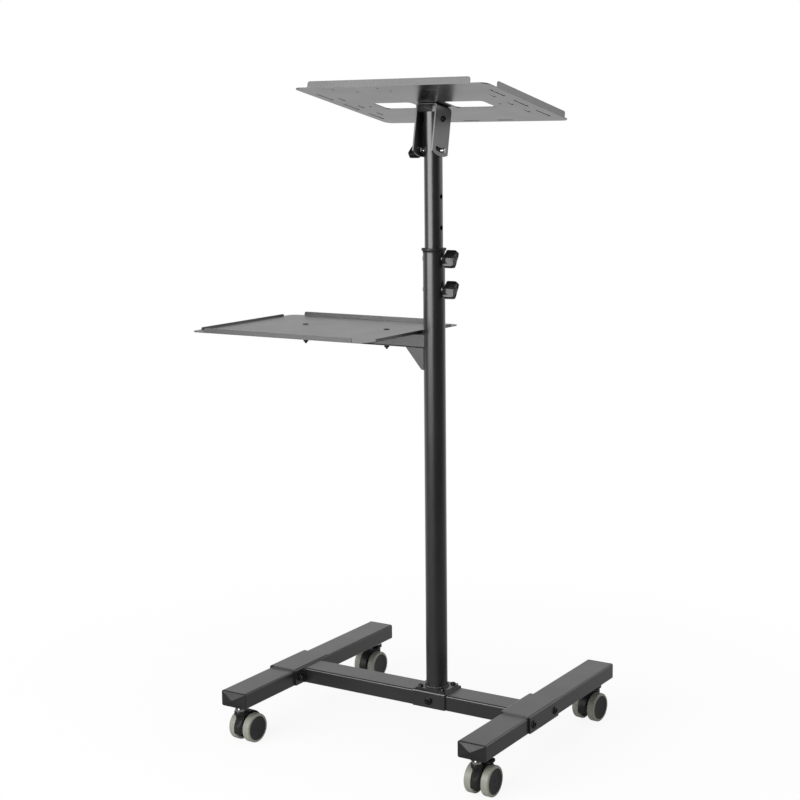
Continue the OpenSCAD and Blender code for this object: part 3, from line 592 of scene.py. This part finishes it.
class STAND_OT_tilt_fasteners(bpy.types.Operator):
    """The tilt pivot bolt with its nut, and the cross-head clamp screw"""
    bl_idname = "stand.tilt_fasteners"
    bl_label = "Tilt pivot and clamp screw"

    def execute(self, context):
        sizes = context.scene.stand_sizes
        low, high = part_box("tilt_bracket")
        reach = (high.x - low.x) / 2 + EAR_GAP * MM
        pivot = Vector(JOINTS["tray_tilt"]["pos_m"])
        wide = sizes.pivot_head / MM
        pin = round_bar(PIVOT_BOLT / 2, -reach / MM, reach / MM)
        head = button_head(wide, PIVOT_HEAD_HEIGHT, wide * 0.42, 2.0)
        nut = nut_and_bolt(PIVOT_NUT, PIVOT_NUT_HEIGHT, PIVOT_BOLT, PIVOT_PROUD)
        made = piece("tilt_pivot_set", gather([
            (pin, seat(pivot, RIGHT)), (head, seat(pivot + RIGHT * reach, RIGHT, turn=0.3)),
            (nut, seat(pivot - RIGHT * reach, -RIGHT, turn=0.2))]),
            "mast_tube", "steel_black_oxide")
        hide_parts("tilt_pivot_bolt")

        clamp = pivot.copy()
        clamp.z = JOINTS["tilt_knob_turn"]["pos_m"][2]
        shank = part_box("tilt_clamp_screw")[0].x - clamp.x
        wide = sizes.clamp_head / MM
        screw = round_bar(CLAMP_SCREW / 2, shank / MM, reach / MM)
        head = cross_head(wide, CLAMP_HEAD_HEIGHT)
        made = piece("tilt_clamp_set", gather([
            (screw, seat(clamp, RIGHT)), (head, seat(clamp + RIGHT * reach, RIGHT))]),
            "mast_tube", "steel_zinc_plated")
        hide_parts("tilt_clamp_screw")
        return {"FINISHED"}


def cross_head(diameter, height):
    """Pan head of a screw with a cross recess, its underside at Z = 0, in mm."""
    r = diameter / 2
    bm = lathe([(0, 0), (r, 0), (r, height * 0.45), (r * 0.93, height * 0.75),
                (r * 0.78, height * 0.94), (r * 0.6, height), (0, height)], 32)
    slots = []
    for turn in (0, math.pi / 2):
        cutter = bmesh.new()
        bmesh.ops.create_cube(cutter, size=1.0)
        bmesh.ops.scale(cutter, vec=(r * 1.15 * MM, r * 0.26 * MM, height * MM), verts=cutter.verts)
        slots.append((cutter, Matrix.Translation((0, 0, height * MM)) @ Matrix.Rotation(turn, 4, "Z")))
    return carved(bm, gather(slots))


def carved(bm, cutter):
    """A bmesh with another one cut out of it."""
    made = []
    for name, shape in (("block", bm), ("cutter", cutter)):
        mesh = bpy.data.meshes.new(name)
        shape.to_mesh(mesh)
        shape.free()
        made.append(bpy.data.objects.new(name, mesh))
        bpy.context.scene.collection.objects.link(made[-1])
    block, knife = made
    cut = block.modifiers.new("cut", "BOOLEAN")
    cut.operation = "DIFFERENCE"
    cut.solver = "EXACT"
    cut.use_self = True
    cut.object = knife
    bpy.context.view_layer.update()
    seen = block.evaluated_get(bpy.context.evaluated_depsgraph_get())
    result = bmesh.new()
    result.from_mesh(seen.to_mesh())
    for done in made:
        mesh = done.data
        bpy.data.objects.remove(done)
        bpy.data.meshes.remove(mesh)
    return result


class STAND_OT_caster_bodies(bpy.types.Operator):
    """Caster bodies whose hood is as narrow as the web between the wheels"""
    bl_idname = "stand.caster_bodies"
    bl_label = "Caster bodies"

    def execute(self, context):
        for corner in CORNERS:
            node = corner + "_fork"
            joint = JOINTS[corner + "_outer_spin"]
            axle, axis = Vector(joint["pos_m"]), Vector(joint["axis"])
            bm = bmesh.new()
            bm.from_mesh(NODES[node].data)
            bmesh.ops.remove_doubles(bm, verts=bm.verts, dist=0.001 * MM)
            side_box = bmesh.new()
            bmesh.ops.create_cube(side_box, size=1.0)
            size = Vector((HOOD_CUT_W, HOOD_CUT_L, HOOD_CUT_TOP - HOOD_CUT_LOW)) * MM
            across = UP.cross(axis)
            turned = Matrix((axis, across, UP)).transposed().to_4x4()
            boxes = []
            for side in (-1, 1):
                at = axle + axis * side * (WEB_HALF + HOOD_CUT_W / 2) * MM
                at.z = (HOOD_CUT_TOP + HOOD_CUT_LOW) / 2 * MM
                boxes.append((side_box, Matrix.Translation(at) @ turned @ Matrix.Diagonal((*size, 1))))
            made = piece(corner + "_body", carved(bm, gather(boxes)), corner + "_caster",
                         "nylon_moulded")
            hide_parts(node)
        return {"FINISHED"}


class STAND_OT_wheel_hubs(bpy.types.Operator):
    """Dark hub discs in the outer faces of the wheels, and dark liners in their inner faces"""
    bl_idname = "stand.wheel_hubs"
    bl_label = "Wheel hubs"

    def execute(self, context):
        for name in WHEEL_BODIES:
            joint = JOINTS[name.replace("_wheel", "_spin")]
            axle, axis = Vector(joint["pos_m"]), Vector(joint["axis"])
            low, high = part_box(name)
            way = axis if ((low + high) / 2 - axle).dot(axis) > 0 else -axis
            depths = [(vert.co - axle).dot(way) / MM for vert in NODES[name].data.vertices]
            inner, outer = min(depths), max(depths)
            r = axle.z / MM - HUB_RIM
            disc = lathe([(0, outer - HUB_DISH), (r - 0.1, outer - HUB_DISH), (r - 0.1, outer - 0.35),
                          (r - 0.5, outer - 0.1), (r - 1.2, outer - 0.1), (r - 1.6, outer - 0.35),
                          (6, outer - 0.3), (0, outer - 0.25)], 64)
            deep = inner + INNER_DISH - 0.05
            liner = lathe([(BOSS_R + 0.1, inner + 0.2), (BOSS_R + 0.1, deep), (r - 0.1, deep),
                           (r - 0.1, inner + 0.2), (r - 0.6, inner + 0.2), (r - 0.9, deep - 0.5),
                           (BOSS_R + 0.8, deep - 0.5), (BOSS_R + 0.6, inner + 0.2),
                           (BOSS_R + 0.1, inner + 0.2)], 64)
            bm = gather([(disc, seat(axle, way)), (liner, seat(axle, way))])
            piece(name + "_hub", bm, name, "nylon_hub_moulded")
        return {"FINISHED"}


class STAND_OT_stage(bpy.types.Operator):
    """Floor, backdrop, lamps and the camera at the photograph's angle"""
    bl_idname = "stand.stage"
    bl_label = "Studio and camera"

    def execute(self, context):
        scene = context.scene
        scene.view_settings.view_transform = "Standard"
        floor_paper(scene)
        scene.world = studio_world()
        soft_lamps(scene)
        scene.camera = photo_camera(scene)
        return {"FINISHED"}


# Camera fitted to the photograph: place from the mast's axis in mm, angles in radians,
# and the focal length in pixels of an 800-pixel square
CAMERA_AT = (1369.2, -2280.2, 1019.5)
CAMERA_YAW, CAMERA_PITCH, CAMERA_ROLL = -0.5624, -0.1601, -0.0105
CAMERA_FOCAL_PX, PHOTO_PX, SENSOR_MM = 1637.3, 800, 36

# The paper floor ends this far before and behind the mast, along the camera's heading, in metres
PAPER_FRONT, PAPER_REAR, PAPER_HALF = 0.9, 5.0, 4.0
SHADOW_RADIUS = 1.1


def photo_camera(scene):
    """The camera, with the heading, pitch and roll found from the photograph."""
    yaw, pitch, roll = CAMERA_YAW, CAMERA_PITCH, CAMERA_ROLL
    ahead = Vector((math.sin(yaw) * math.cos(pitch), math.cos(yaw) * math.cos(pitch), math.sin(pitch)))
    level = Vector((math.cos(yaw), -math.sin(yaw), 0))
    over = level.cross(ahead)
    right = math.cos(roll) * level + math.sin(roll) * over
    up = -math.sin(roll) * level + math.cos(roll) * over
    data = bpy.data.cameras.new("photo_camera")
    data.sensor_width = SENSOR_MM
    data.lens = SENSOR_MM * CAMERA_FOCAL_PX / PHOTO_PX
    camera = bpy.data.objects.new("photo_camera", data)
    turned = Matrix((right, up, -ahead)).transposed().to_4x4()
    camera.matrix_world = Matrix.Translation(MAST + Vector(CAMERA_AT) * MM) @ turned
    scene.collection.objects.link(camera)
    return camera


def floor_paper(scene):
    """White paper that shows white, with a soft shadow near the stand and no edge far from it."""
    bm = bmesh.new()
    bmesh.ops.create_grid(bm, x_segments=1, y_segments=1, size=1.0)
    bmesh.ops.scale(bm, vec=(PAPER_HALF, (PAPER_FRONT + PAPER_REAR) / 2, 1), verts=bm.verts)
    bmesh.ops.translate(bm, vec=(0, (PAPER_REAR - PAPER_FRONT) / 2, 0), verts=bm.verts)
    bmesh.ops.rotate(bm, matrix=Matrix.Rotation(-CAMERA_YAW, 3, "Z"), cent=(0, 0, 0), verts=bm.verts)
    mesh = bpy.data.meshes.new("floor_paper")
    bm.to_mesh(mesh)
    bm.free()
    floor = bpy.data.objects.new("floor_paper", mesh)
    scene.collection.objects.link(floor)
    mesh.materials.append(paper_material())


def paper_material():
    """Matt white backdrop paper: it scatters light evenly, and is lit to plain white."""
    tree, place = new_material("paper_matt_white")
    away = add(tree, "ShaderNodeVectorMath", {"operation": "LENGTH"}, [("Vector", place, "Object")])
    far = add(tree, "ShaderNodeMapRange", None, [("Value", away, "Value")],
              From_Min=0.35 * SHADOW_RADIUS, From_Max=SHADOW_RADIUS, To_Min=0.9, To_Max=1.0)
    behind = add(tree, "ShaderNodeVectorMath", {"operation": "DOT_PRODUCT"}, [(0, place, "Object")])
    behind.inputs[1].default_value = (math.sin(CAMERA_YAW), math.cos(CAMERA_YAW), 0)
    mirrored = add(tree, "ShaderNodeMapRange", {"interpolation_type": "SMOOTHSTEP"},
                   [("Value", behind, "Value")],
                   From_Min=-0.35, From_Max=1.5, To_Min=0.22, To_Max=0.62)
    path = add(tree, "ShaderNodeLightPath")
    seen = add(tree, "ShaderNodeMath", {"operation": "MULTIPLY"},
               [(0, path, "Is Camera Ray"), (1, far, "Result")])
    gloss = add(tree, "ShaderNodeMath", {"operation": "MAXIMUM"},
                [(0, path, "Is Glossy Ray"), (1, path, "Is Transmission Ray")])
    share = add(tree, "ShaderNodeMath", {"operation": "MAXIMUM"}, [(0, seen, 0), (1, gloss, 0)])
    level = add(tree, "ShaderNodeMix", {"data_type": "FLOAT"}, [(0, gloss, 0), (3, mirrored, "Result")])
    level.inputs[2].default_value = 1.0
    paper = add(tree, "ShaderNodeBsdfDiffuse", Color=linear("#f4f4f4"))
    glow = add(tree, "ShaderNodeEmission", None, [("Strength", level, 0)])
    pick = add(tree, "ShaderNodeMixShader", None, [(0, share, 0), (1, paper, 0), (2, glow, 0)])
    add(tree, "ShaderNodeOutputMaterial", None, [("Surface", pick, "Shader")])
    return bpy.data.materials["paper_matt_white"]


def studio_world():
    """White to the camera, bright behind the stand in its gloss, and dim on the camera's side."""
    world = bpy.data.worlds.new("studio_white")
    world.use_nodes = True
    tree = world.node_tree
    tree.nodes.clear()
    place = add(tree, "ShaderNodeTexCoord")
    heading = (math.sin(CAMERA_YAW), math.cos(CAMERA_YAW), 0)
    along = add(tree, "ShaderNodeVectorMath", {"operation": "DOT_PRODUCT"},
                [(0, place, "Generated")])
    along.inputs[1].default_value = heading
    behind = add(tree, "ShaderNodeMapRange", {"interpolation_type": "SMOOTHSTEP"},
                 [("Value", along, "Value")], From_Min=-0.15, From_Max=0.6, To_Min=0.06, To_Max=0.55)
    split = add(tree, "ShaderNodeSeparateXYZ", None, [("Vector", place, "Generated")])
    low = add(tree, "ShaderNodeMapRange", {"interpolation_type": "SMOOTHSTEP"},
              [("Value", split, "Z")], From_Min=0.42, From_Max=0.7, To_Min=1.0, To_Max=0.12)
    gloss = add(tree, "ShaderNodeMath", {"operation": "MULTIPLY"},
                [(0, behind, "Result"), (1, low, "Result")])
    path = add(tree, "ShaderNodeLightPath")
    shine = add(tree, "ShaderNodeMix", {"data_type": "FLOAT"},
                [(0, path, "Is Glossy Ray"), (3, gloss, 0)])
    shine.inputs[2].default_value = 0.4
    seen = add(tree, "ShaderNodeMath", {"operation": "MAXIMUM"},
               [(0, path, "Is Camera Ray"), (1, path, "Is Transmission Ray")])
    level = add(tree, "ShaderNodeMix", {"data_type": "FLOAT"}, [(0, seen, 0), (2, shine, 0)])
    level.inputs[3].default_value = 1.0
    glow = add(tree, "ShaderNodeBackground", None, [("Strength", level, 0)], Color=(1, 1, 1, 1))
    add(tree, "ShaderNodeOutputWorld", None, [("Surface", glow, "Background")])
    return world


def soft_lamps(scene):
    """A wide soft lamp left of the camera, a weaker one at the right rear, and one overhead."""
    power = scene.stand_sizes.lamp_power
    for name, at, size, share, aim_z in (
            ("lamp_left", (-0.62, -2.2, 1.25), (2.4, 1.7), 1.0, 1.0),
            ("lamp_right", (1.95, 1.40, 1.6), (2.4, 1.5), 0.2, 1.0),
            ("lamp_top", (-0.2, -0.6, 3.2), (1.8, 1.8), 0.25, 0.0)):
        data = bpy.data.lights.new(name, "AREA")
        data.shape = "RECTANGLE"
        data.size, data.size_y = size
        data.energy = power * share
        lamp = bpy.data.objects.new(name, data)
        lamp.location = MAST + Vector(at)
        lamp.rotation_euler = (MAST + UP * aim_z - lamp.location).to_track_quat("-Z", "Y").to_euler()
        scene.collection.objects.link(lamp)


STEPS = (
    STAND_OT_finishes, STAND_OT_saddle_bolts, STAND_OT_foot_screws, STAND_OT_shelf_bolts,
    STAND_OT_mast_heads, STAND_OT_welds, STAND_OT_clamp_knobs, STAND_OT_tilt_fasteners,
    STAND_OT_caster_bodies, STAND_OT_wheel_hubs, STAND_OT_stage,
)


class STAND_PT_panel(bpy.types.Panel):
    """Lists the stand's settings and steps"""
    bl_idname = "STAND_PT_panel"
    bl_label = "Projector stand"
    bl_space_type = "VIEW_3D"
    bl_region_type = "UI"
    bl_category = "Stand"

    def draw(self, context):
        for group in (context.scene.stand_colours, context.scene.stand_sizes):
            box = self.layout.box()
            for name in group.__annotations__:
                box.prop(group, name)
        for step in STEPS:
            self.layout.operator(step.bl_idname)


CLASSES = (StandColours, StandSizes) + STEPS + (STAND_PT_panel,)


def register():
    for cls in CLASSES:
        bpy.utils.register_class(cls)
    bpy.types.Scene.stand_colours = bpy.props.PointerProperty(type=StandColours)
    bpy.types.Scene.stand_sizes = bpy.props.PointerProperty(type=StandSizes)


def unregister():
    del bpy.types.Scene.stand_sizes
    del bpy.types.Scene.stand_colours
    for cls in reversed(CLASSES):
        bpy.utils.unregister_class(cls)


def main():
    """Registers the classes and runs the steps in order."""
    register()
    for step in STEPS:
        getattr(bpy.ops.stand, step.bl_idname.split(".")[1])()


if __name__ == "__main__":
    main()
